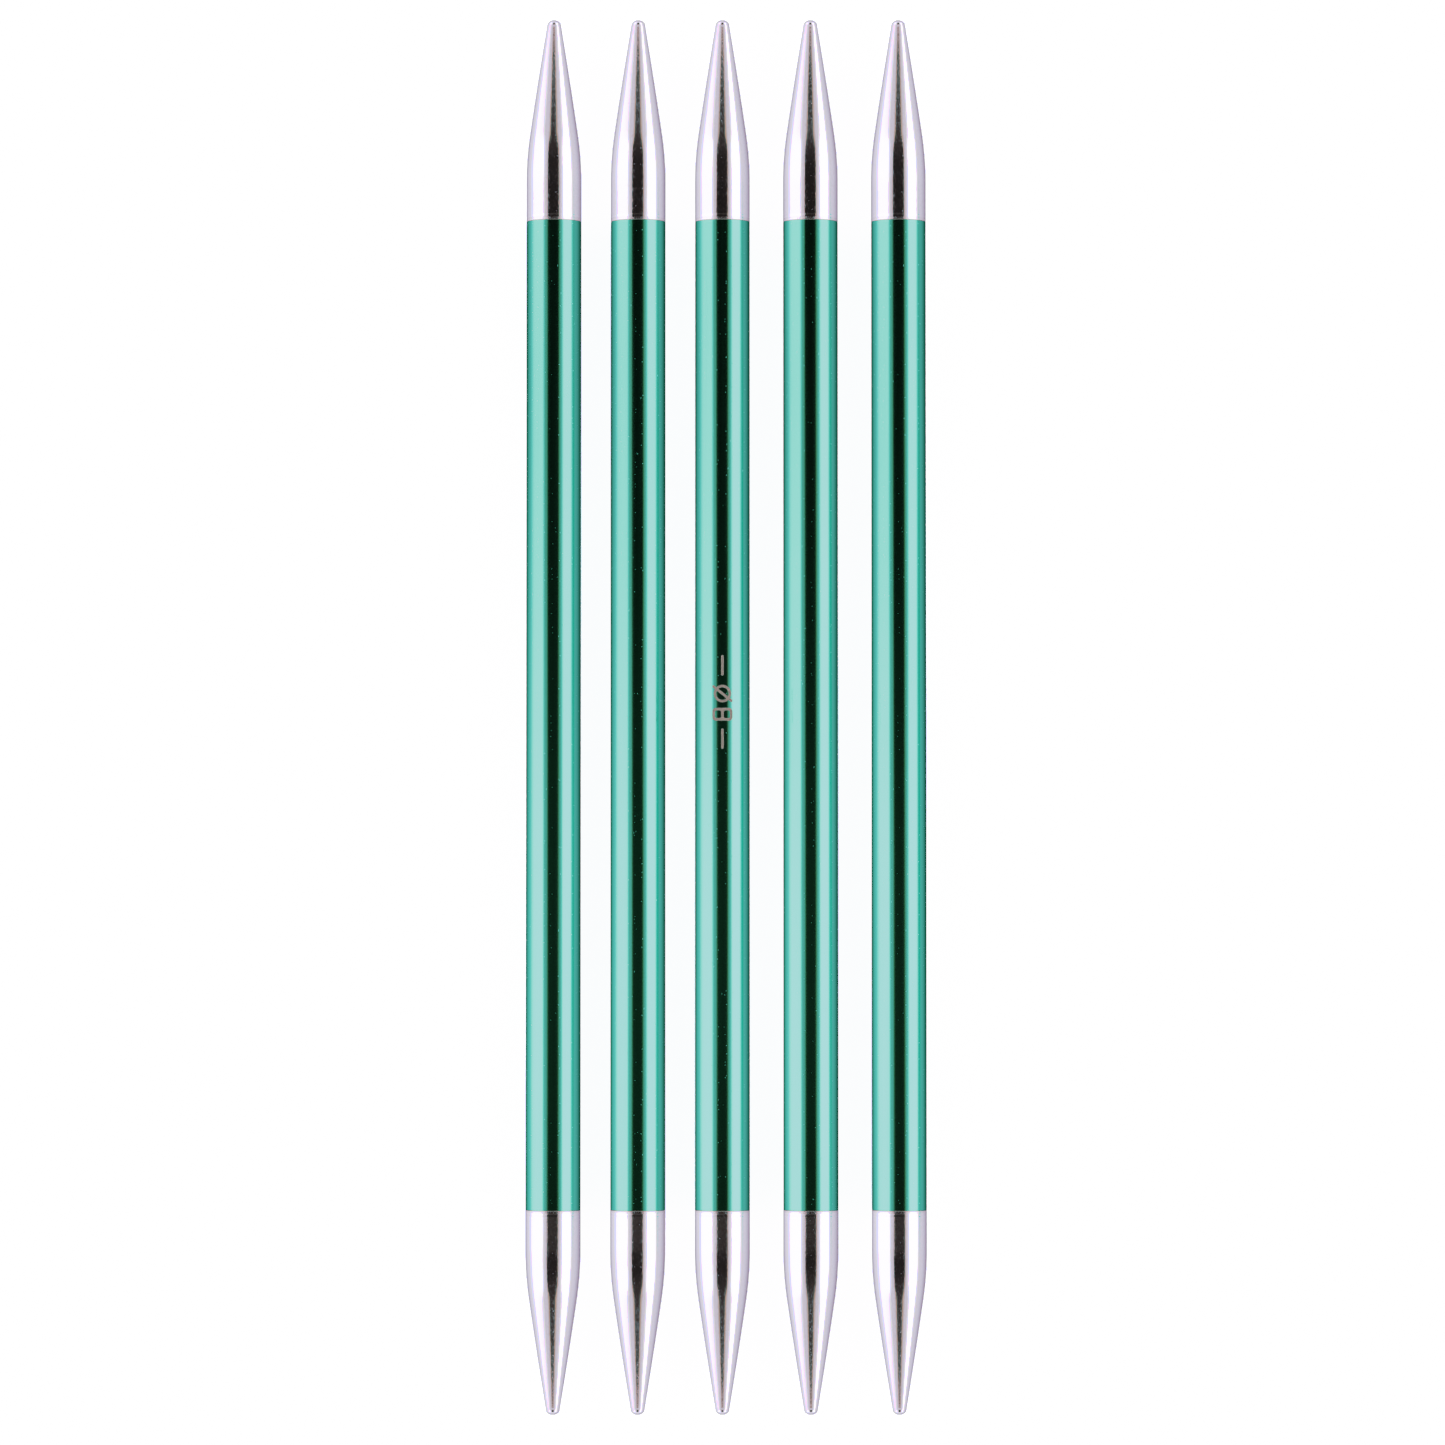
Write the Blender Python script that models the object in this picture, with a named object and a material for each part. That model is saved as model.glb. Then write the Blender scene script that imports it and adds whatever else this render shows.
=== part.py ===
"""Five double pointed knitting needles, 8 mm thick and 203.2 mm (8 inches) long, lying side by side.

Each needle is three pieces. A drawn aluminium tube, anodised teal, is the shaft. A point turned from bare
aluminium closes each end of it: the point's spigot is pressed into the tube as far as its shoulder, so that
the outside runs on without a step. The five needles are loose, and only lie next to each other.

Units are metres. +Y runs along the needles and +Z is up. The origin is on the surface that the needles lie
on, below the middle of the set. Turned profiles are lists of (along, radius), with along measured on the axis.
"""

import math

import bmesh
import bpy
from mathutils import Matrix

# The whole needle
NEEDLE_DIAMETER = 0.008
NEEDLE_LENGTH = 0.2032
POINT_LENGTH = 0.0296

# From each needle's axis to the next one's, from left to right
NEEDLE_STEPS = (0.0123, 0.0123, 0.01285, 0.01285)

# The turned point: a parallel land, a long shoulder, a slightly bellied taper and a domed end
LAND_LENGTH = 0.0057
SHOULDER_RADIUS = 0.050
SHOULDER_ANGLE = math.radians(8.3)
BELLY_RADIUS = 0.870
DOME_HEIGHT = 0.00048
END_FLAT_RADIUS = 0.0003

# The tube, and the spigot that is pressed into it
TUBE_WALL = 0.0009
SPIGOT_LENGTH = 0.010
SPIGOT_CHAMFER = 0.0006
SPIGOT_CLEARANCE = 0.00005
RELIEF_WIDTH = 0.0010
RELIEF_DEPTH = 0.0003
MOUTH_CHAMFER = 0.0003
EDGE_BREAK = 0.0001
SEAM_GAP = 0.0003

# Fineness of the turned surfaces
SEGMENTS = 32
SHOULDER_STEPS = 5
BELLY_STEPS = 3
DOME_STEPS = 3

TEAL_ANODISED = ("teal_anodised_aluminium", (0.045, 0.430, 0.330, 1.0), 0.18)
POLISHED_ALUMINIUM = ("polished_aluminium", (0.880, 0.870, 0.900, 1.0), 0.08)

NEEDLE_RADIUS = NEEDLE_DIAMETER / 2
BORE_RADIUS = NEEDLE_RADIUS - TUBE_WALL
SHAFT_LENGTH = NEEDLE_LENGTH - 2 * (POINT_LENGTH + SEAM_GAP)
HALF_SEGMENT = math.pi / SEGMENTS


def clear_scene():
    """Removes whatever the file opened with."""
    for obj in list(bpy.data.objects):
        bpy.data.objects.remove(obj)


def metal(name, colour, roughness):
    """A bare or anodised metal."""
    material = bpy.data.materials.new(name)
    material.use_nodes = True
    shader = material.node_tree.nodes["Principled BSDF"]
    shader.inputs["Base Color"].default_value = colour
    shader.inputs["Metallic"].default_value = 1.0
    shader.inputs["Roughness"].default_value = roughness
    return material


def falling_arc(start, angle, radius, end_angle, steps):
    """Points after start on an arc that starts falling at angle below the axis and steepens to end_angle."""
    along, height = start
    centre_along = along - radius * math.sin(angle)
    centre_height = height - radius * math.cos(angle)
    points = []
    for step in range(1, steps + 1):
        turned = angle + (end_angle - angle) * step / steps
        points.append(
            (
                centre_along + radius * math.sin(turned),
                centre_height + radius * math.cos(turned),
            )
        )
    return points


def taper_profile():
    """The point's outside, from the end of its land to the rim of the small flat on its end."""
    shoulder_start = (LAND_LENGTH, NEEDLE_RADIUS)
    shoulder = falling_arc(shoulder_start, 0.0, SHOULDER_RADIUS, SHOULDER_ANGLE, SHOULDER_STEPS)

    belly_start = shoulder[-1]
    dome_along = POINT_LENGTH - DOME_HEIGHT
    belly_sine = math.sin(SHOULDER_ANGLE) + (dome_along - belly_start[0]) / BELLY_RADIUS
    belly = falling_arc(
        belly_start, SHOULDER_ANGLE, BELLY_RADIUS, math.asin(belly_sine), BELLY_STEPS
    )

    # The dome is part of a ball centred on the axis, from the belly's end to the flat's rim.
    dome_radius_at_base = belly[-1][1]
    centre = (
        POINT_LENGTH**2 + END_FLAT_RADIUS**2 - dome_along**2 - dome_radius_at_base**2
    ) / (2 * DOME_HEIGHT)
    ball_radius = math.hypot(dome_along - centre, dome_radius_at_base)
    base_angle = math.asin(dome_radius_at_base / ball_radius)
    flat_angle = math.asin(END_FLAT_RADIUS / ball_radius)
    dome = []
    for step in range(1, DOME_STEPS + 1):
        angle = base_angle + (flat_angle - base_angle) * step / DOME_STEPS
        dome.append((centre + ball_radius * math.cos(angle), ball_radius * math.sin(angle)))
    return [shoulder_start, *shoulder, *belly, *dome]


def spigot_profile():
    """The spigot's outside, from its chamfered end to the relief at the point's shoulder."""
    radius = BORE_RADIUS - SPIGOT_CLEARANCE
    return [
        (-SPIGOT_LENGTH, radius - SPIGOT_CHAMFER),
        (SPIGOT_CHAMFER - SPIGOT_LENGTH, radius),
        (-RELIEF_WIDTH, radius),
        (RELIEF_DEPTH - RELIEF_WIDTH, radius - RELIEF_DEPTH),
        (0.0, radius - RELIEF_DEPTH),
    ]


def point_profile():
    """One point with its spigot. Along is 0 at the shoulder face that meets the tube."""
    shoulder_face = [
        (0.0, NEEDLE_RADIUS - EDGE_BREAK),
        (EDGE_BREAK, NEEDLE_RADIUS),
    ]
    return [*spigot_profile(), *shoulder_face, *taper_profile()]


def tube_profile():
    """The tube's wall as a closed loop. Along is 0 at the middle of the shaft."""
    end = SHAFT_LENGTH / 2
    outside = [
        (EDGE_BREAK - end, NEEDLE_RADIUS),
        (end - EDGE_BREAK, NEEDLE_RADIUS),
        (end, NEEDLE_RADIUS - EDGE_BREAK),
    ]
    bore = [
        (end, BORE_RADIUS + MOUTH_CHAMFER),
        (end - MOUTH_CHAMFER, BORE_RADIUS),
        (MOUTH_CHAMFER - end, BORE_RADIUS),
        (-end, BORE_RADIUS + MOUTH_CHAMFER),
    ]
    return [(-end, NEEDLE_RADIUS - EDGE_BREAK), *outside, *bore]


def turned_mesh(name, profile, closed):
    """The profile spun round the Y axis. A closed profile makes a ring, and an open one gets flat ends.

    The facets touch the true surface from outside, and one of them faces straight down, so that the
    shape is 8.00 mm across its flats and lies flat on the surface below it.
    """
    shape = bmesh.new()
    corner_scale = 1.0 / math.cos(HALF_SEGMENT)
    points = [shape.verts.new((radius * corner_scale, along, 0.0)) for along, radius in profile]
    for first, second in zip(points, points[1:]):
        shape.edges.new((first, second))
    if closed:
        shape.edges.new((points[-1], points[0]))
    bmesh.ops.rotate(shape, verts=shape.verts, matrix=Matrix.Rotation(HALF_SEGMENT, 3, "Y"))
    bmesh.ops.spin(
        shape,
        geom=[*shape.verts, *shape.edges],
        axis=(0.0, 1.0, 0.0),
        angle=2 * math.pi,
        steps=SEGMENTS,
        use_merge=True,
    )
    if not closed:
        bmesh.ops.holes_fill(shape, edges=shape.edges, sides=SEGMENTS)
    bmesh.ops.recalc_face_normals(shape, faces=shape.faces)
    mesh = bpy.data.meshes.new(name)
    shape.to_mesh(mesh)
    shape.free()
    mesh.shade_smooth()
    mesh.set_sharp_from_angle(angle=math.radians(25))
    return mesh


def add_piece(name, mesh, material, parent, along=0.0, turn=0.0):
    """One piece of a needle, along is its place on the needle's axis."""
    piece = bpy.data.objects.new(name, mesh)
    bpy.context.scene.collection.objects.link(piece)
    piece.parent = parent
    piece.location.y = along
    piece.rotation_euler.z = turn
    if not mesh.materials:
        mesh.materials.append(material)
    return piece


def needle_places():
    """Where each needle's axis lies on X, with the set centred on the origin."""
    place = -sum(NEEDLE_STEPS) / 2
    places = [place]
    for step in NEEDLE_STEPS:
        place += step
        places.append(place)
    return places


def build_needles():
    """Places an empty on each needle's axis, and hangs the shaft and the two points on it."""
    shaft_mesh = turned_mesh("shaft", tube_profile(), closed=True)
    point_mesh = turned_mesh("point", point_profile(), closed=False)
    teal = metal(*TEAL_ANODISED)
    bare = metal(*POLISHED_ALUMINIUM)
    shoulder = NEEDLE_LENGTH / 2 - POINT_LENGTH
    for number, across in enumerate(needle_places(), start=1):
        axis = bpy.data.objects.new(f"needle_{number}", None)
        axis.location = (across, 0.0, NEEDLE_RADIUS)
        bpy.context.scene.collection.objects.link(axis)
        add_piece(f"needle_{number}_shaft", shaft_mesh, teal, axis)
        add_piece(f"needle_{number}_far_tip", point_mesh, bare, axis, along=shoulder)
        add_piece(
            f"needle_{number}_near_tip", point_mesh, bare, axis, along=-shoulder, turn=math.pi
        )


clear_scene()
build_needles()
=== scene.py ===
"""Five double pointed knitting needles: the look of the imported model, in studio light.

Every needle is turned anew around the axis that its CAD shaft has: a teal anodised tube, and a
bright point at each end of it. Lengths are in metres, +Y runs along the needles to their far ends,
and +Z is up.
"""

import math

import bmesh
import bpy
from mathutils import Matrix, Vector


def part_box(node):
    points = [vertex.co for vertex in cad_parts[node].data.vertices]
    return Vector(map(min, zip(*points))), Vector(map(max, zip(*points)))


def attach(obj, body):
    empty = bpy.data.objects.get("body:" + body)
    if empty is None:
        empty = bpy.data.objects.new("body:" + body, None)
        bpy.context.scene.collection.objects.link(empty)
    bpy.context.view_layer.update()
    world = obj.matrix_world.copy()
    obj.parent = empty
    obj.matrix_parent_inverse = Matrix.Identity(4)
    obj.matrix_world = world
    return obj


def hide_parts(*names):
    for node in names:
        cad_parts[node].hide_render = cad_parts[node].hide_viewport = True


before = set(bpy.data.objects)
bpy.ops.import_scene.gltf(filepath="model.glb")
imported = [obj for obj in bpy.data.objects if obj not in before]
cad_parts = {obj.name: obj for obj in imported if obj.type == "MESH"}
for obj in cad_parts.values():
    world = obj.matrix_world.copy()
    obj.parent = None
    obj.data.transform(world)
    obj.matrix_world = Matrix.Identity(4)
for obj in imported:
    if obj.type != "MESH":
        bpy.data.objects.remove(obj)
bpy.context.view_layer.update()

NEEDLES = (1, 2, 3, 4, 5)
MARKED_NEEDLE = 3
CAD_SEAM_GAP = 0.0003

# The turned point, with the CAD model's own sizes
LAND_LENGTH = 0.0057
SHOULDER_RADIUS = 0.050
SHOULDER_ANGLE = math.radians(8.3)
BELLY_RADIUS = 0.870
DOME_HEIGHT = 0.00048
END_FLAT_RADIUS = 0.0003

# The tube's wall and the spigot inside it
TUBE_WALL = 0.0009
SPIGOT_LENGTH = 0.010
SPIGOT_CHAMFER = 0.0006
SPIGOT_CLEARANCE = 0.00005
RELIEF_WIDTH = 0.0010
RELIEF_DEPTH = 0.0003
MOUTH_CHAMFER = 0.0003

# Fine detail of the turned surfaces
SEAM_OPENING = 0.00002
EDGE_RADIUS = 0.00004
WITNESS_LINE_PLACE = 0.0007
WITNESS_LINE_WIDTH = 0.00012
WITNESS_LINE_DEPTH = 0.000012
SEGMENTS = 128
SHAFT_BAYS = 24
LAND_BAYS = 6
EDGE_STEPS = 4
EDGE_SUPPORT = 4 * EDGE_RADIUS
SHOULDER_STEPS = 20
BELLY_STEPS = 28
DOME_STEPS = 10
SHARP_ANGLE = math.radians(28)
ROLL_STEP = math.radians(90)

# The size mark
STROKE = 0.00041
DIGIT_HEIGHT = 0.00300
DIGIT_WIDTH = 0.00190
DIGIT_CORNER = 0.00056
DASH_LENGTH = 0.0030
SIGN_SPACING = 0.00055
DASH_SPACING = 0.00110
MARK_RELIEF = 0.000005
MARK_SINK = 0.000010
MARK_MIDDLE = 0.0017
ARC_STEP = math.radians(7.5)
WRAP_STEP = 0.00015
RING_RADIUS = 0.43 * DIGIT_HEIGHT
BAR_REACH = 0.62 * DIGIT_HEIGHT
BAR_SLOPE = math.radians(52)
HOLE_CORNER = DIGIT_CORNER - 0.75 * STROKE

# The anodised teal. A material varies between its pair of shades and its pair of roughnesses. A
# strength is how much of a colour shows, and a nick's roughness comes on top of the material's own.
TEAL_SHADES = ((0.116, 0.475, 0.310, 1.0), (0.134, 0.515, 0.339, 1.0))
TEAL_EDGE_TINT = (0.36, 0.44, 0.37, 1.0)
TEAL_ROUGHNESS = (0.12, 0.17)
TEAL_NICK = (0.30, 0.72, 0.64, 1.0)
TEAL_NICK_STRENGTH = 0.28
TEAL_NICK_ROUGHNESS = 0.21

# The polished aluminium, which has a fine stain, and tarnish close to the seam
BARE_SHADES = ((0.925, 0.885, 0.970, 1.0), (0.975, 0.935, 1.000, 1.0))
BARE_ROUGHNESS = (0.07, 0.11)
BARE_NICK = (0.62, 0.57, 0.60, 1.0)
BARE_NICK_STRENGTH = 0.30
BARE_NICK_ROUGHNESS = 0.25
STAIN_SHADES = ((0.86, 0.62, 0.42, 1.0), (0.55, 0.78, 0.72, 1.0))
STAIN_STRENGTH = 0.22
STAIN_ROUGHNESS = 0.12
TARNISH = (0.70, 0.55, 0.42, 1.0)
TARNISH_STRENGTH = 0.30
TARNISH_ROUGHNESS = 0.12
TARNISH_REACH = (0.00045, 0.00030)

# The other materials
CUT_EDGE_SHADES = ((0.26, 0.19, 0.13, 1.0), (0.44, 0.33, 0.24, 1.0))
CUT_EDGE_ROUGHNESS = (0.32, 0.5)
LASER_SHADES = ((0.137, 0.115, 0.094, 1.0), (0.161, 0.144, 0.120, 1.0))
LASER_ROUGHNESS = 0.75
LASER_GLOSS = 0.2
PAPER_SHADES = ((0.86, 0.86, 0.87, 1.0), (0.88, 0.88, 0.89, 1.0))

# The floor, which gives off light of its own
FLAT_RADIUS = 0.5
FLOOR_RADIUS = 3.0
COVE_RADIUS = 0.8
BACKDROP_HEIGHT = 2.5
FLOOR_SEGMENTS = 96
COVE_STEPS = 12
WELD_DISTANCE = 0.00001
FLOOR_GLOW = 1.45

# The camera
CAMERA_DISTANCE = 0.920
CAMERA_NEARWARDS = 0.035
VIEW_WIDTH = 0.21030
VIEW_ACROSS = -0.00054
VIEW_ALONG = -0.00113
SENSOR_WIDTH = 36.0
CLIP_START = 0.01

# The light tent's two sides. Angles are degrees from straight up, down that side, and a pair of
# them is where a change starts and ends. Its narrowing is how far the opening's rim moves in
# nearwards, and its wall shift is how far the wall's top moves down endwards. Wall levels are the
# middle's and then the ends', and a gradient is for the shafts' far ends and then their near ends.
# The sides meet overhead, between the angles of SIDES_MEET.
LEFT_SIDE = {
    "opening": (24.4, 28.5),
    "narrowing": 7.0,
    "wall_start": (35.0, 48.0),
    "wall_end": (84.0, 119.0),
    "foot": (116.0, 168.0),
    "wall_levels": (2.30, 1.76),
    "skirt_level": 1.00,
    "wall_shift": 9.5,
    "gradient": (0.66, 1.13),
}
RIGHT_SIDE = {
    "opening": (18.3, 29.5),
    "narrowing": 0.6,
    "wall_start": (31.0, 46.0),
    "wall_end": (74.0, 90.0),
    "foot": (98.0, 158.0),
    "wall_levels": (2.55, 2.27),
    "skirt_level": 0.77,
    "wall_shift": 7.0,
    "gradient": (0.81, 1.06),
}
SIDES_MEET = (-1.0, 1.0)

# How bright the tent's other parts are
OPENING_LEVELS = (0.012, 0.068)
TIP_OPENING_LEVEL = 0.026
CONE_OPENING_LEVEL = 0.045
BEYOND_OPENING_LEVEL = 0.09
CEILING_LEVEL = 0.66
FOOT_LEVEL = 0.24
END_FOOT_LEVEL = 0.48
END_WALL_LEVEL = 0.85

# Where the tent changes along the needles, in degrees. FAR_TO_NEAR is measured from straight up,
# and the other pairs are measured both ways from MIDDLE, which the middle of the shafts mirrors.
MIDDLE = 2.1
FAR_TO_NEAR = (7.4, -1.5)
STRIP_CLOSES = (4.4, 3.9)
TIP_OPENING = (3.8, 4.8)
PAST_SHAFTS = (4.1, 4.7)
CONE_OPENING = (10.0, 20.0)
ENDWARDS = (15.0, 22.0)
OPENING_CLOSES = (23.4, 27.6)
END_FEET = (32.0, 50.0)
BEYOND = (33.0, 41.0)
END_WALLS = (62.0, 82.0)
TIP_NEARNESS = 0.60
TIP_NARROWING = 0.25
END_NARROWING = 13.5

# The tent's tints, and the levels or the degrees from straight up between which each takes over
DEEP_TINT = (1.07, 0.99, 0.90, 1.0)
RIM_TINT = (1.22, 0.97, 0.74, 1.0)
RIM_LEVELS = (0.06, 0.16)
CEILING_TINT = (1.00, 0.93, 1.14, 1.0)
CEILING_LEVELS = (0.34, 0.60)
SKIRT_TINT = (0.98, 0.93, 1.23, 1.0)
SKIRT_ANGLES = (80.0, 115.0)
WALL_TINT = (1.04, 0.99, 1.19, 1.0)
END_WALL_TINT = (1.0, 0.92, 0.90, 1.0)
WHITE_LEVELS = (0.9, 1.8)
STRIP_TINT = (0.10, 0.95, 0.95, 1.0)
STRIP_START = (86.0, 90.0)
STRIP_END = (101.0, 96.0)

# The grade's curves. Each has its last point first, and then the points before that.
CURVE_RANGE = (3.0, 16.0)
OVERALL_CURVE = ((2.2, 12.0), (0.95, 0.95), (1.38, 1.02))
RED_CURVE = ((1.0, 1.0), (0.05, 0.05), (0.15, 0.110), (0.30, 0.335), (0.5, 0.5))
BLUE_CURVE = ((2.2, 2.2), (0.957, 0.957), (1.0, 1.2), (1.6, 1.75))


def needle_axis(number):
    """The point on the needle's axis at the middle of its shaft."""
    low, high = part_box(f"needle_{number}_shaft")
    return (low + high) / 2


shaft_low, shaft_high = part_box("needle_1_shaft")
tip_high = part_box("needle_1_far_tip")[1]
NEEDLE_RADIUS = (shaft_high.z - shaft_low.z) / 2
BORE_RADIUS = NEEDLE_RADIUS - TUBE_WALL
SHOULDER = (shaft_high.y - shaft_low.y) / 2 + CAD_SEAM_GAP
POINT_LENGTH = tip_high.y - SHOULDER


# ---------------------------------------------------------------- shader nodes


class Graph:
    """Adds nodes to a node tree and joins them, so that a material reads as a list of steps."""

    def __init__(self, tree):
        self.tree = tree

    def feed(self, socket, value):
        """Sets a socket to a value, or links it to the output that makes the value."""
        if isinstance(value, bpy.types.NodeSocket):
            self.tree.links.new(value, socket)
        else:
            socket.default_value = value

    def node(self, kind, inputs=None, **settings):
        """A node with its settings, and with its inputs given by name or number."""
        node = self.tree.nodes.new(kind)
        for name, value in settings.items():
            setattr(node, name, value)
        for key, value in (inputs or {}).items():
            self.feed(node.inputs[key], value)
        return node

    def math(self, operation, *values):
        """The result of one sum."""
        inputs = dict(enumerate(values))
        return self.node("ShaderNodeMath", inputs, operation=operation).outputs[0]

    def smooth(self, value, start, end, low=0.0, high=1.0):
        """Goes smoothly from low to high as the value goes from start to end."""
        inputs = {"Value": value, "From Min": start, "From Max": end, "To Min": low, "To Max": high}
        node = self.node("ShaderNodeMapRange", inputs, interpolation_type="SMOOTHSTEP")
        return node.outputs["Result"]

    def blend(self, factor, first, second):
        """A colour between the first and the second."""
        node = self.node("ShaderNodeMix", data_type="RGBA")
        self.feed(node.inputs["Factor"], factor)
        self.feed(node.inputs[6], first)
        self.feed(node.inputs[7], second)
        return node.outputs[2]

    def mix(self, factor, first, second):
        """A number between the first and the second."""
        return self.node("ShaderNodeMix", {0: factor, 2: first, 3: second}).outputs[0]

    def scaled(self, vector, scale, turn=(0.0, 0.0, 0.0)):
        """The vector scaled, and then turned."""
        inputs = {"Vector": vector, "Scale": scale, "Rotation": turn}
        return self.node("ShaderNodeMapping", inputs).outputs["Vector"]

    def noise(self, place, across, along, detail, roughness):
        """Noise of so many grains to the metre across the needle and along it."""
        grains = self.scaled(place, (across, along, across))
        inputs = {"Vector": grains, "Scale": 1.0, "Detail": detail, "Roughness": roughness}
        return self.node("ShaderNodeTexNoise", inputs).outputs["Fac"]

    def bump(self, height, distance, normal=None):
        """A normal from a height of 0 to 1, where 1 stands that distance proud."""
        inputs = {"Height": height, "Distance": distance, "Strength": 1.0}
        if normal is not None:
            inputs["Normal"] = normal
        return self.node("ShaderNodeBump", inputs).outputs["Normal"]


def new_material(name):
    """A material with only its Principled shader, with a Graph to build the rest in."""
    material = bpy.data.materials.new(name)
    material.use_nodes = True
    shader = material.node_tree.nodes["Principled BSDF"]
    return material, Graph(material.node_tree), shader


def unrolled(graph, place):
    """Places on the needle's skin as if it were unrolled flat: round the needle, and along it."""
    parts = graph.node("ShaderNodeSeparateXYZ", {"Vector": place}).outputs
    turn = graph.math("ARCTAN2", parts["X"], parts["Z"])
    round_needle = graph.math("MULTIPLY", turn, NEEDLE_RADIUS)
    return graph.node("ShaderNodeCombineXYZ", {"X": round_needle, "Y": parts["Y"]}).outputs[0]


def random_cells(graph, vector, scale):
    """Flat cells of random shape, with the distance from each cell's seed and a random colour."""
    inputs = {"Vector": vector, "Scale": scale, "Randomness": 1.0}
    return graph.node("ShaderNodeTexVoronoi", inputs, voronoi_dimensions="2D").outputs


def chosen_cells(graph, cells, channel, share):
    """1 in that share of the cells, chosen by one channel of their colours, and 0 elsewhere."""
    channels = graph.node("ShaderNodeSeparateColor", {"Color": cells["Color"]}).outputs
    return graph.math("LESS_THAN", channels[channel], share)


def specks(graph, skin, cell, radius, share):
    """1 on small round spots, one in that share of the cells, and 0 elsewhere."""
    cells = random_cells(graph, skin, 1.0 / cell)
    inside = graph.smooth(cells["Distance"], radius / cell, 0.5 * radius / cell)
    return graph.math("MULTIPLY", chosen_cells(graph, cells, "Red", share), inside)


def scratches(graph, skin, length, spacing, turn, share):
    """1 on a few hairlines of about that length, turned from the needle's axis, and 0 elsewhere."""
    turned = graph.scaled(skin, (1.0, 1.0, 1.0), (0.0, 0.0, turn))
    stretched = graph.scaled(turned, (1 / spacing, 1 / length, 1.0))
    cells = random_cells(graph, stretched, 1.0)
    core = graph.smooth(cells["Distance"], 0.05, 0.02)
    return graph.math("MULTIPLY", chosen_cells(graph, cells, "Green", share), core)


def teal_anodised():
    """Dyed anodised aluminium: a tinted mirror, drawn along the tube, with dust and scratches."""
    material, graph, shader = new_material("teal_anodised")
    place = graph.node("ShaderNodeTexCoord").outputs["Object"]
    skin = unrolled(graph, place)
    draw_lines = graph.noise(place, 2600.0, 22.0, detail=4.0, roughness=0.6)
    dye = graph.noise(place, 90.0, 30.0, detail=3.0, roughness=0.55)
    ripple = graph.noise(place, 160.0, 420.0, detail=2.0, roughness=0.5)
    dust = specks(graph, skin, cell=0.0011, radius=0.00008, share=0.26)
    lengthwise = scratches(
        graph, skin, length=0.0040, spacing=0.0010, turn=math.radians(6), share=0.10
    )
    crosswise = scratches(
        graph, skin, length=0.0016, spacing=0.0011, turn=math.radians(74), share=0.10
    )
    marks = graph.math("MAXIMUM", dust, graph.math("MAXIMUM", lengthwise, crosswise))

    tint = graph.blend(dye, *TEAL_SHADES)
    tint = graph.blend(graph.math("MULTIPLY", marks, TEAL_NICK_STRENGTH), tint, TEAL_NICK)
    graph.feed(shader.inputs["Base Color"], tint)

    roughness = graph.smooth(draw_lines, 0.25, 0.75, *TEAL_ROUGHNESS)
    roughness = graph.math("MULTIPLY_ADD", marks, TEAL_NICK_ROUGHNESS, roughness)
    graph.feed(shader.inputs["Roughness"], roughness)
    shader.inputs["Metallic"].default_value = 1.0
    shader.inputs["Specular Tint"].default_value = TEAL_EDGE_TINT

    normal = graph.bump(draw_lines, distance=0.0000012)
    normal = graph.bump(ripple, distance=0.0000025, normal=normal)
    normal = graph.bump(marks, distance=0.000006, normal=normal)
    graph.feed(shader.inputs["Normal"], normal)
    return material


def polished_aluminium():
    """Turned and polished metal, with turning lines round it, fine streaks and a mottled stain."""
    material, graph, shader = new_material("polished_aluminium")
    place = graph.node("ShaderNodeTexCoord").outputs["Object"]
    skin = unrolled(graph, place)
    turning = graph.noise(place, 30.0, 5200.0, detail=3.0, roughness=0.6)
    streaks = graph.noise(place, 5000.0, 1300.0, detail=3.0, roughness=0.6)
    cloud = graph.noise(place, 260.0, 130.0, detail=3.0, roughness=0.6)
    grain = graph.noise(place, 6500.0, 1700.0, detail=2.0, roughness=0.6)
    hue = graph.noise(place, 3600.0, 1100.0, detail=2.0, roughness=0.6)
    pits = specks(graph, skin, cell=0.0012, radius=0.00007, share=0.25)
    hairlines = scratches(
        graph, skin, length=0.0022, spacing=0.0008, turn=math.radians(24), share=0.10
    )
    marks = graph.math("MAXIMUM", pits, hairlines)

    metal = graph.blend(cloud, *BARE_SHADES)
    stain = graph.blend(graph.smooth(hue, 0.42, 0.58), *STAIN_SHADES)
    metal = graph.blend(graph.smooth(grain, 0.40, 0.72, high=STAIN_STRENGTH), metal, stain)
    metal = graph.blend(graph.math("MULTIPLY", marks, BARE_NICK_STRENGTH), metal, BARE_NICK)
    from_seam = graph.node("ShaderNodeSeparateXYZ", {"Vector": place}).outputs["Y"]
    by_seam = graph.smooth(from_seam, *TARNISH_REACH)
    metal = graph.blend(graph.math("MULTIPLY", by_seam, TARNISH_STRENGTH), metal, TARNISH)
    graph.feed(shader.inputs["Base Color"], metal)

    roughness = graph.smooth(cloud, 0.3, 0.7, *BARE_ROUGHNESS)
    stained = graph.smooth(grain, 0.48, 0.72, high=STAIN_ROUGHNESS)
    roughness = graph.math("ADD", roughness, stained)
    roughness = graph.math("MULTIPLY_ADD", by_seam, TARNISH_ROUGHNESS, roughness)
    roughness = graph.math("MULTIPLY_ADD", marks, BARE_NICK_ROUGHNESS, roughness)
    graph.feed(shader.inputs["Roughness"], roughness)
    shader.inputs["Metallic"].default_value = 1.0

    normal = graph.bump(turning, distance=0.0000006)
    normal = graph.bump(streaks, distance=0.0000052, normal=normal)
    normal = graph.bump(marks, distance=0.000003, normal=normal)
    graph.feed(shader.inputs["Normal"], normal)
    return material


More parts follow.
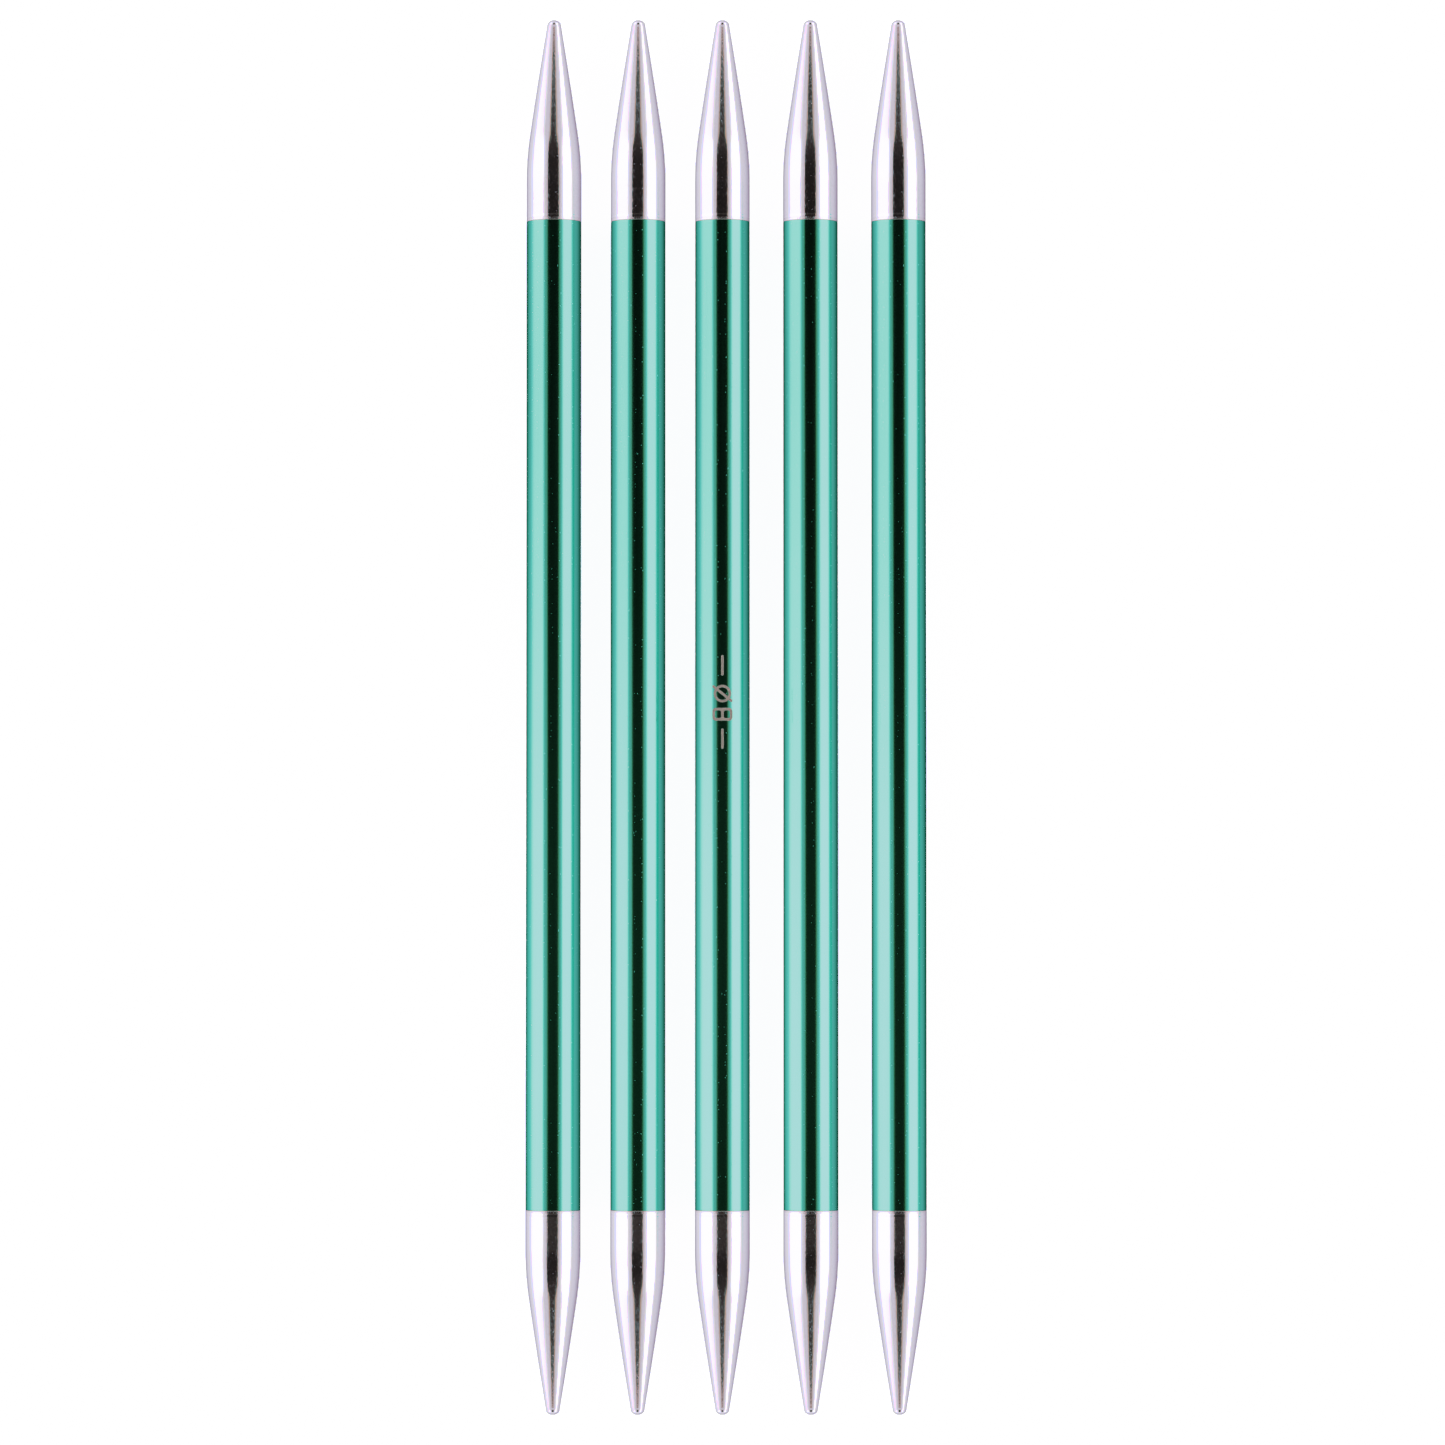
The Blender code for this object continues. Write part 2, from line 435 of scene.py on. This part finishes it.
def cut_edge():
    """The tube's cut end and bore, where the metal shows without its dye, warm with old polish."""
    material, graph, shader = new_material("cut_edge_aluminium")
    place = graph.node("ShaderNodeTexCoord").outputs["Object"]
    grain = graph.noise(place, 1800.0, 1800.0, detail=3.0, roughness=0.6)
    graph.feed(shader.inputs["Base Color"], graph.blend(grain, *CUT_EDGE_SHADES))
    graph.feed(shader.inputs["Roughness"], graph.smooth(grain, 0.2, 0.8, *CUT_EDGE_ROUGHNESS))
    shader.inputs["Metallic"].default_value = 1.0
    return material


def laser_mark():
    """The matt warm grey that a laser leaves where it burns the dye away."""
    material, graph, shader = new_material("laser_mark")
    place = graph.node("ShaderNodeTexCoord").outputs["Object"]
    grain = graph.noise(place, 9000.0, 9000.0, detail=3.0, roughness=0.7)
    graph.feed(shader.inputs["Base Color"], graph.blend(grain, *LASER_SHADES))
    shader.inputs["Roughness"].default_value = LASER_ROUGHNESS
    shader.inputs["Specular IOR Level"].default_value = LASER_GLOSS
    graph.feed(shader.inputs["Normal"], graph.bump(grain, distance=0.000004))
    return material


def pale_floor():
    """Plain matt paper that gives off light of its own, which keeps it nearly white."""
    material, graph, shader = new_material("pale_floor")
    place = graph.node("ShaderNodeTexCoord").outputs["Object"]
    fibre = graph.noise(place, 700.0, 700.0, detail=4.0, roughness=0.6)
    graph.feed(shader.inputs["Base Color"], graph.blend(fibre, *PAPER_SHADES))
    shader.inputs["Roughness"].default_value = 1.0
    shader.inputs["Specular IOR Level"].default_value = 0.0
    shader.inputs["Emission Color"].default_value = (1.0, 1.0, 1.0, 1.0)
    shader.inputs["Emission Strength"].default_value = FLOOR_GLOW
    return material


# ---------------------------------------------------------------- turned pieces


def falling_arc(start, angle, radius, end_angle, steps):
    """Points after start on an arc that falls at angle to the axis and steepens to end_angle."""
    along, height = start
    centre_along = along - radius * math.sin(angle)
    centre_height = height - radius * math.cos(angle)
    points = []
    for step in range(1, steps + 1):
        turned = angle + (end_angle - angle) * step / steps
        points.append(
            (
                centre_along + radius * math.sin(turned),
                centre_height + radius * math.cos(turned),
            )
        )
    return points


def even_points(first, last, count):
    """Points between two points of a profile, without the two themselves."""
    return [
        tuple(a + (b - a) * step / (count + 1) for a, b in zip(first, last))
        for step in range(1, count + 1)
    ]


def rounded_rise(face_along):
    """From a flat face at face_along, over a rounded edge, to the outside that runs on from it."""
    centre = (face_along + EDGE_RADIUS, NEEDLE_RADIUS - EDGE_RADIUS)
    return [
        (
            centre[0] - EDGE_RADIUS * math.cos(0.5 * math.pi * step / EDGE_STEPS),
            centre[1] + EDGE_RADIUS * math.sin(0.5 * math.pi * step / EDGE_STEPS),
        )
        for step in range(EDGE_STEPS + 1)
    ]


def taper_profile():
    """The point's outside, from the end of its land to the rim of the small flat on its end."""
    shoulder_start = (LAND_LENGTH, NEEDLE_RADIUS)
    shoulder = falling_arc(shoulder_start, 0.0, SHOULDER_RADIUS, SHOULDER_ANGLE, SHOULDER_STEPS)

    belly_start = shoulder[-1]
    dome_along = POINT_LENGTH - DOME_HEIGHT
    belly_sine = math.sin(SHOULDER_ANGLE) + (dome_along - belly_start[0]) / BELLY_RADIUS
    belly = falling_arc(
        belly_start, SHOULDER_ANGLE, BELLY_RADIUS, math.asin(belly_sine), BELLY_STEPS
    )

    # The dome is part of a ball centred on the axis, from the belly's end to the flat's rim.
    base_radius = belly[-1][1]
    centre = (POINT_LENGTH**2 + END_FLAT_RADIUS**2 - dome_along**2 - base_radius**2) / (
        2 * DOME_HEIGHT
    )
    ball_radius = math.hypot(dome_along - centre, base_radius)
    base_angle = math.asin(base_radius / ball_radius)
    flat_angle = math.asin(END_FLAT_RADIUS / ball_radius)
    dome = []
    for step in range(1, DOME_STEPS + 1):
        angle = base_angle + (flat_angle - base_angle) * step / DOME_STEPS
        dome.append((centre + ball_radius * math.cos(angle), ball_radius * math.sin(angle)))
    return [shoulder_start, *shoulder, *belly, *dome]


def witness_line():
    """The fine line that a stop leaves round the land, as a shallow groove."""
    half = WITNESS_LINE_WIDTH / 2
    return [
        (WITNESS_LINE_PLACE - 3 * half, NEEDLE_RADIUS),
        (WITNESS_LINE_PLACE - half, NEEDLE_RADIUS),
        (WITNESS_LINE_PLACE, NEEDLE_RADIUS - WITNESS_LINE_DEPTH),
        (WITNESS_LINE_PLACE + half, NEEDLE_RADIUS),
        (WITNESS_LINE_PLACE + 3 * half, NEEDLE_RADIUS),
    ]


def spigot_profile():
    """The spigot's outside, from its chamfered end to the relief at the point's shoulder."""
    radius = BORE_RADIUS - SPIGOT_CLEARANCE
    return [
        (-SPIGOT_LENGTH, radius - SPIGOT_CHAMFER),
        (SPIGOT_CHAMFER - SPIGOT_LENGTH, radius),
        (-RELIEF_WIDTH, radius),
        (RELIEF_DEPTH - RELIEF_WIDTH, radius - RELIEF_DEPTH),
        (0.0, radius - RELIEF_DEPTH),
    ]


def point_profile():
    """One point with its spigot. Along is 0 at the shoulder face that meets the tube."""
    edge = rounded_rise(0.0)
    line = witness_line()
    land = even_points(line[-1], (LAND_LENGTH, NEEDLE_RADIUS), LAND_BAYS)
    return [*spigot_profile(), *edge, *line, *land, *taper_profile()]


def tube_profile():
    """The tube's wall as a closed loop. Along is 0 at the middle of the shaft."""
    end = SHOULDER - SEAM_OPENING
    near_edge = rounded_rise(-end)
    far_edge = [(-along, radius) for along, radius in reversed(near_edge)]
    first = (EDGE_SUPPORT - end, NEEDLE_RADIUS)
    last = (end - EDGE_SUPPORT, NEEDLE_RADIUS)
    bore = [
        (end, BORE_RADIUS + MOUTH_CHAMFER),
        (end - MOUTH_CHAMFER, BORE_RADIUS),
        (MOUTH_CHAMFER - end, BORE_RADIUS),
        (-end, BORE_RADIUS + MOUTH_CHAMFER),
    ]
    outside = [first, *even_points(first, last, SHAFT_BAYS), last]
    return [*near_edge, *outside, *far_edge, *bore]


def turned_mesh(name, profile, closed):
    """The profile spun round the Y axis. A closed one makes a ring, an open one gets flat ends."""
    shape = bmesh.new()
    points = [shape.verts.new((radius, along, 0.0)) for along, radius in profile]
    for first, second in zip(points, points[1:]):
        shape.edges.new((first, second))
    if closed:
        shape.edges.new((points[-1], points[0]))
    bmesh.ops.spin(
        shape,
        geom=[*shape.verts, *shape.edges],
        axis=(0.0, 1.0, 0.0),
        angle=2 * math.pi,
        steps=SEGMENTS,
        use_merge=True,
    )
    if not closed:
        bmesh.ops.holes_fill(shape, edges=shape.edges, sides=SEGMENTS)
    bmesh.ops.recalc_face_normals(shape, faces=shape.faces)
    mesh = bpy.data.meshes.new(name)
    shape.to_mesh(mesh)
    shape.free()
    mesh.shade_smooth()
    mesh.set_sharp_from_angle(angle=SHARP_ANGLE)
    return mesh


def paint_cut_edges(mesh, face_places):
    """Gives the second material to the bore and to the faces and rounded edges at those places."""
    for face in mesh.polygons:
        middle = face.center
        inside = math.hypot(middle.x, middle.z) < NEEDLE_RADIUS - EDGE_RADIUS
        at_edge = any(abs(middle.y - place) < EDGE_RADIUS for place in face_places)
        face.material_index = 1 if inside or at_edge else 0


def paint_seam_edge(mesh):
    """Gives the second material to the rounded edge of a point's shoulder face."""
    for face in mesh.polygons:
        outside = math.hypot(face.center.x, face.center.z) > NEEDLE_RADIUS - EDGE_RADIUS
        face.material_index = 1 if outside and face.center.y < EDGE_RADIUS else 0


def place_piece(name, mesh, place, turn, body, node):
    """A finished piece, standing for its CAD node."""
    piece = bpy.data.objects.new(name, mesh)
    bpy.context.scene.collection.objects.link(piece)
    piece.matrix_world = Matrix.Translation(place) @ turn
    piece.visible_glossy = False
    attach(piece, body)
    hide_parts(node)


def build_needles(teal, bare, edge):
    """Three pieces for each needle. Each is rolled a quarter turn on, so their marks differ."""
    shaft_mesh = turned_mesh("shaft_surface", tube_profile(), closed=True)
    shaft_mesh.materials.append(teal)
    shaft_mesh.materials.append(edge)
    paint_cut_edges(shaft_mesh, (SHOULDER, -SHOULDER))
    point_mesh = turned_mesh("point_surface", point_profile(), closed=False)
    point_mesh.materials.append(bare)
    point_mesh.materials.append(edge)
    paint_seam_edge(point_mesh)
    to_shoulder = Vector((0.0, SHOULDER, 0.0))
    end_for_end = Matrix.Rotation(math.pi, 4, "Z")
    for number in NEEDLES:
        axis = needle_axis(number)
        body = f"needle_{number}"
        roll = Matrix.Rotation(ROLL_STEP * number, 4, "Y")
        place_piece(f"{body}_tube", shaft_mesh, axis, roll, body, f"{body}_shaft")
        ends = (("far", axis + to_shoulder, roll), ("near", axis - to_shoulder, roll @ end_for_end))
        for end, place, turn in ends:
            point, tip = f"{body}_{end}_point", f"{body}_{end}_tip"
            place_piece(point, point_mesh, place, turn, body, tip)


# ---------------------------------------------------------------- size mark


def arc(centre, radius, start, end):
    """Points on an arc from the start angle to the end angle, both in radians."""
    steps = max(2, math.ceil(abs(end - start) / ARC_STEP))
    return [
        (
            centre[0] + radius * math.cos(start + (end - start) * step / steps),
            centre[1] + radius * math.sin(start + (end - start) * step / steps),
        )
        for step in range(steps + 1)
    ]


def rounded_box(start, width, height, radius):
    """An upright rectangle with round corners. Start is its lower left corner."""
    left, bottom = start[0] + radius, start[1] + radius
    right, top = start[0] + width - radius, start[1] + height - radius
    quarter = math.pi / 2
    corners = ((right, top), (left, top), (left, bottom), (right, bottom))
    return [
        point
        for turn, corner in enumerate(corners)
        for point in arc(corner, radius, turn * quarter, (turn + 1) * quarter)
    ]


def shifted(loop, across, up):
    """The loop, moved by that much."""
    return [(x + across, y + up) for x, y in loop]


def dash():
    """The outline of a dash with round ends, at half the digits' height, and its width."""
    half = STROKE / 2
    middle = DIGIT_HEIGHT / 2
    right = arc((DASH_LENGTH - half, middle), half, -math.pi / 2, math.pi / 2)
    left = arc((half, middle), half, math.pi / 2, 1.5 * math.pi)
    return [[*right, *left]], DASH_LENGTH


def diameter_sign():
    """The outlines of a crossed circle, and its width."""
    centre = (DIGIT_HEIGHT / 2, DIGIT_HEIGHT / 2)
    inner = RING_RADIUS - STROKE
    half = STROKE / 2
    outer_bite = math.asin(half / RING_RADIUS)
    inner_bite = math.asin(half / inner)
    outside, holes = [], []
    for angle in (BAR_SLOPE, BAR_SLOPE + math.pi):
        tip = (
            centre[0] + (BAR_REACH - half) * math.cos(angle),
            centre[1] + (BAR_REACH - half) * math.sin(angle),
        )
        outside += arc(tip, half, angle - math.pi / 2, angle + math.pi / 2)
        outside += arc(centre, RING_RADIUS, angle + outer_bite, angle + math.pi - outer_bite)
        holes.append(arc(centre, inner, angle + inner_bite, angle + math.pi - inner_bite))
    return [outside, *holes], DIGIT_HEIGHT


def eight():
    """The outlines of a square-shouldered 8, and its width."""
    hole_width = DIGIT_WIDTH - 2 * STROKE
    hole_height = (DIGIT_HEIGHT - 3 * STROKE) / 2
    outside = rounded_box((0.0, 0.0), DIGIT_WIDTH, DIGIT_HEIGHT, DIGIT_CORNER)
    low_hole = rounded_box((STROKE, STROKE), hole_width, hole_height, HOLE_CORNER)
    high_hole = shifted(low_hole, 0.0, hole_height + STROKE)
    return [outside, low_hole, high_hole], DIGIT_WIDTH


def mark_loops():
    """The outlines of the whole size mark, side by side, and its length."""
    loops = []
    across = 0.0
    for glyph, gap in (
        (dash(), DASH_SPACING),
        (diameter_sign(), SIGN_SPACING),
        (eight(), DASH_SPACING),
        (dash(), 0.0),
    ):
        outlines, width = glyph
        loops += [shifted(loop, across, 0.0) for loop in outlines]
        across += width + gap
    return loops, across


def cut_in_strips(shape):
    """Cuts the flat size mark at even heights, so that it can be bent round the shaft."""
    count = math.ceil(DIGIT_HEIGHT / WRAP_STEP)
    for step in range(1, count):
        bmesh.ops.bisect_plane(
            shape,
            geom=[*shape.verts, *shape.edges, *shape.faces],
            plane_co=(0.0, DIGIT_HEIGHT * step / count, 0.0),
            plane_no=(0.0, 1.0, 0.0),
        )


def build_size_mark(material):
    """The size in plain numerals, as a skin bent round the top of the marked needle's shaft."""
    loops, length = mark_loops()
    shape = bmesh.new()
    for loop in loops:
        corners = [shape.verts.new((across, up, 0.0)) for across, up in loop]
        for first, second in zip(corners, [*corners[1:], corners[0]]):
            shape.edges.new((first, second))
    bmesh.ops.triangle_fill(shape, use_beauty=True, edges=shape.edges)
    cut_in_strips(shape)
    lifted = bmesh.ops.extrude_face_region(shape, geom=shape.faces[:])["geom"]
    for vert in lifted:
        if isinstance(vert, bmesh.types.BMVert):
            vert.co.z = MARK_RELIEF + MARK_SINK
    for vert in shape.verts:
        across, up, height = vert.co
        angle = (up - DIGIT_HEIGHT / 2) / NEEDLE_RADIUS
        radius = NEEDLE_RADIUS - MARK_SINK + height
        vert.co = (radius * math.sin(angle), length / 2 - across, radius * math.cos(angle))
    bmesh.ops.recalc_face_normals(shape, faces=shape.faces)
    mesh = bpy.data.meshes.new("size_mark")
    shape.to_mesh(mesh)
    shape.free()
    mesh.materials.append(material)
    mark = bpy.data.objects.new("size_mark", mesh)
    bpy.context.scene.collection.objects.link(mark)
    mark.location = needle_axis(MARKED_NEEDLE) + Vector((0.0, MARK_MIDDLE, 0.0))
    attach(mark, f"needle_{MARKED_NEEDLE}")


# ---------------------------------------------------------------- studio


def build_floor(material):
    """A wide pale floor that the needles lie on, which curves up into a backdrop all round."""
    profile = [(0.0, 0.0), (FLAT_RADIUS, 0.0), (FLOOR_RADIUS, 0.0)]
    for step in range(1, COVE_STEPS + 1):
        angle = 0.5 * math.pi * step / COVE_STEPS
        profile.append(
            (FLOOR_RADIUS + COVE_RADIUS * math.sin(angle), COVE_RADIUS * (1 - math.cos(angle)))
        )
    profile.append((FLOOR_RADIUS + COVE_RADIUS, BACKDROP_HEIGHT))
    shape = bmesh.new()
    points = [shape.verts.new((out, 0.0, up)) for out, up in profile]
    for first, second in zip(points, points[1:]):
        shape.edges.new((first, second))
    bmesh.ops.spin(
        shape,
        geom=[*shape.verts, *shape.edges],
        axis=(0.0, 0.0, 1.0),
        angle=2 * math.pi,
        steps=FLOOR_SEGMENTS,
        use_merge=True,
    )
    bmesh.ops.remove_doubles(shape, verts=shape.verts, dist=WELD_DISTANCE)
    mesh = bpy.data.meshes.new("floor")
    shape.to_mesh(mesh)
    shape.free()
    mesh.shade_smooth()
    mesh.materials.append(material)
    floor = bpy.data.objects.new("floor", mesh)
    bpy.context.scene.collection.objects.link(floor)
    floor.visible_glossy = False


def side_level(graph, side, angle, endwards, nearness, narrowing, opening_level, foot_level):
    """Brightness from straight up, over the ceiling and down the wall to the skirt's foot."""
    rim = graph.math("MULTIPLY_ADD", endwards, -END_NARROWING, side["opening"][0])
    rim = graph.math("MULTIPLY_ADD", narrowing, -side["narrowing"], rim)
    ceiling = graph.mix(graph.smooth(angle, rim, side["opening"][1]), opening_level, CEILING_LEVEL)
    shifted_angle = graph.math("MULTIPLY_ADD", endwards, -side["wall_shift"], angle)
    wall_level = graph.mix(endwards, *side["wall_levels"])
    walls = graph.mix(graph.smooth(shifted_angle, *side["wall_start"]), ceiling, wall_level)
    skirts = graph.mix(graph.smooth(angle, *side["wall_end"]), walls, side["skirt_level"])
    level = graph.mix(graph.smooth(angle, *side["foot"]), skirts, foot_level)
    return graph.math("MULTIPLY", level, graph.mix(nearness, *side["gradient"]))


def tent_level(graph, across, along, from_middle):
    """The tent's brightness, and a share that is 1 endwards, between ENDWARDS and BEYOND."""
    # Over the shafts the tent is brighter nearwards, and over the points it is the same both ways.
    past_shafts = graph.smooth(from_middle, *PAST_SHAFTS)
    far_to_near = graph.smooth(along, *FAR_TO_NEAR)
    nearness = graph.mix(past_shafts, far_to_near, TIP_NEARNESS)
    narrowing = graph.mix(past_shafts, far_to_near, TIP_NARROWING)

    # Some way along, the opening's rim gets softer, and the opening closes for a short stretch.
    beyond = graph.smooth(from_middle, *BEYOND)
    endwards = graph.math(
        "MULTIPLY", graph.smooth(from_middle, *ENDWARDS), graph.math("SUBTRACT", 1.0, beyond)
    )
    opening = graph.mix(nearness, *OPENING_LEVELS)
    opening = graph.mix(graph.smooth(from_middle, *TIP_OPENING), opening, TIP_OPENING_LEVEL)
    opening = graph.mix(graph.smooth(from_middle, *CONE_OPENING), opening, CONE_OPENING_LEVEL)
    opening = graph.mix(graph.smooth(from_middle, *OPENING_CLOSES), opening, CEILING_LEVEL)
    opening = graph.mix(beyond, opening, BEYOND_OPENING_LEVEL)
    foot = graph.smooth(from_middle, *END_FEET, FOOT_LEVEL, END_FOOT_LEVEL)

    angle = graph.math("ABSOLUTE", across)
    shared = (angle, endwards, nearness, narrowing, opening, foot)
    level = graph.mix(
        graph.smooth(across, *SIDES_MEET),
        side_level(graph, LEFT_SIDE, *shared),
        side_level(graph, RIGHT_SIDE, *shared),
    )
    return graph.mix(graph.smooth(from_middle, *END_WALLS), level, END_WALL_LEVEL), endwards


def tent_tint(graph, level, across, from_middle, endwards):
    """The tent's colour: warm at the opening's rim, lilac where it is dim, white on the walls."""
    tint = graph.blend(graph.smooth(level, *RIM_LEVELS), DEEP_TINT, RIM_TINT)
    tint = graph.blend(graph.smooth(level, *CEILING_LEVELS), tint, CEILING_TINT)
    below_walls = graph.smooth(graph.math("ABSOLUTE", across), *SKIRT_ANGLES)
    tint = graph.blend(below_walls, tint, SKIRT_TINT)
    wall_tint = graph.blend(endwards, WALL_TINT, END_WALL_TINT)
    tint = graph.blend(graph.smooth(level, *WHITE_LEVELS), tint, wall_tint)

    # Below the right wall, over the shafts, a narrow strip has lost most of its red.
    strip_start = graph.smooth(across, *STRIP_START)
    strip = graph.math("MULTIPLY", strip_start, graph.smooth(across, *STRIP_END))
    strip = graph.math("MULTIPLY", strip, graph.smooth(from_middle, *STRIP_CLOSES))
    return graph.blend(strip, tint, STRIP_TINT)


def build_world():
    """A lilac white light tent: dark opening overhead, dim ceiling, bright walls and dim skirts."""
    world = bpy.data.worlds.new("light_tent")
    bpy.context.scene.world = world
    world.use_nodes = True
    graph = Graph(world.node_tree)
    background = world.node_tree.nodes["Background"]
    direction = graph.node("ShaderNodeTexCoord").outputs["Generated"]
    parts = graph.node("ShaderNodeSeparateXYZ", {"Vector": direction}).outputs
    across = graph.math("DEGREES", graph.math("ARCTAN2", parts["X"], parts["Z"]))
    along = graph.math("DEGREES", graph.math("ARCSINE", parts["Y"]))
    from_middle = graph.math("ABSOLUTE", graph.math("SUBTRACT", along, MIDDLE))
    level, endwards = tent_level(graph, across, along, from_middle)
    graph.feed(background.inputs["Color"], tent_tint(graph, level, across, from_middle, endwards))
    graph.feed(background.inputs["Strength"], level)


def build_camera():
    """The camera looks almost straight down, from a little towards the near ends."""
    camera_data = bpy.data.cameras.new("camera")
    camera_data.sensor_width = SENSOR_WIDTH
    camera_data.lens = SENSOR_WIDTH * CAMERA_DISTANCE / VIEW_WIDTH
    camera_data.clip_start = CLIP_START
    camera = bpy.data.objects.new("camera", camera_data)
    bpy.context.scene.collection.objects.link(camera)
    target = Vector((VIEW_ACROSS, VIEW_ALONG, NEEDLE_RADIUS))
    camera.location = Vector((VIEW_ACROSS, -CAMERA_NEARWARDS, NEEDLE_RADIUS + CAMERA_DISTANCE))
    camera.rotation_euler = (target - camera.location).to_track_quat("-Z", "Y").to_euler()
    bpy.context.scene.camera = camera


def bend_curve(curve, last, *others):
    """Moves the curve's last point, adds the others, and joins them all by straight lines."""
    curve.points[1].location = last
    for point in others:
        curve.points.new(*point)
    for point_on_curve in curve.points:
        point_on_curve.handle_type = "VECTOR"


def grade_colours():
    """A film-like response, in which strong highlights pale."""
    settings = bpy.context.scene.view_settings
    settings.view_transform = "Filmic"
    settings.look = "High Contrast"
    settings.use_curve_mapping = True
    mapping = settings.curve_mapping
    mapping.clip_max_x, mapping.clip_max_y = CURVE_RANGE
    mapping.extend = "EXTRAPOLATED"
    red, _, blue, overall = mapping.curves
    bend_curve(overall, *OVERALL_CURVE)
    bend_curve(red, *RED_CURVE)
    bend_curve(blue, *BLUE_CURVE)
    mapping.update()


build_needles(teal_anodised(), polished_aluminium(), cut_edge())
build_size_mark(laser_mark())
build_floor(pale_floor())
build_world()
build_camera()
grade_colours()
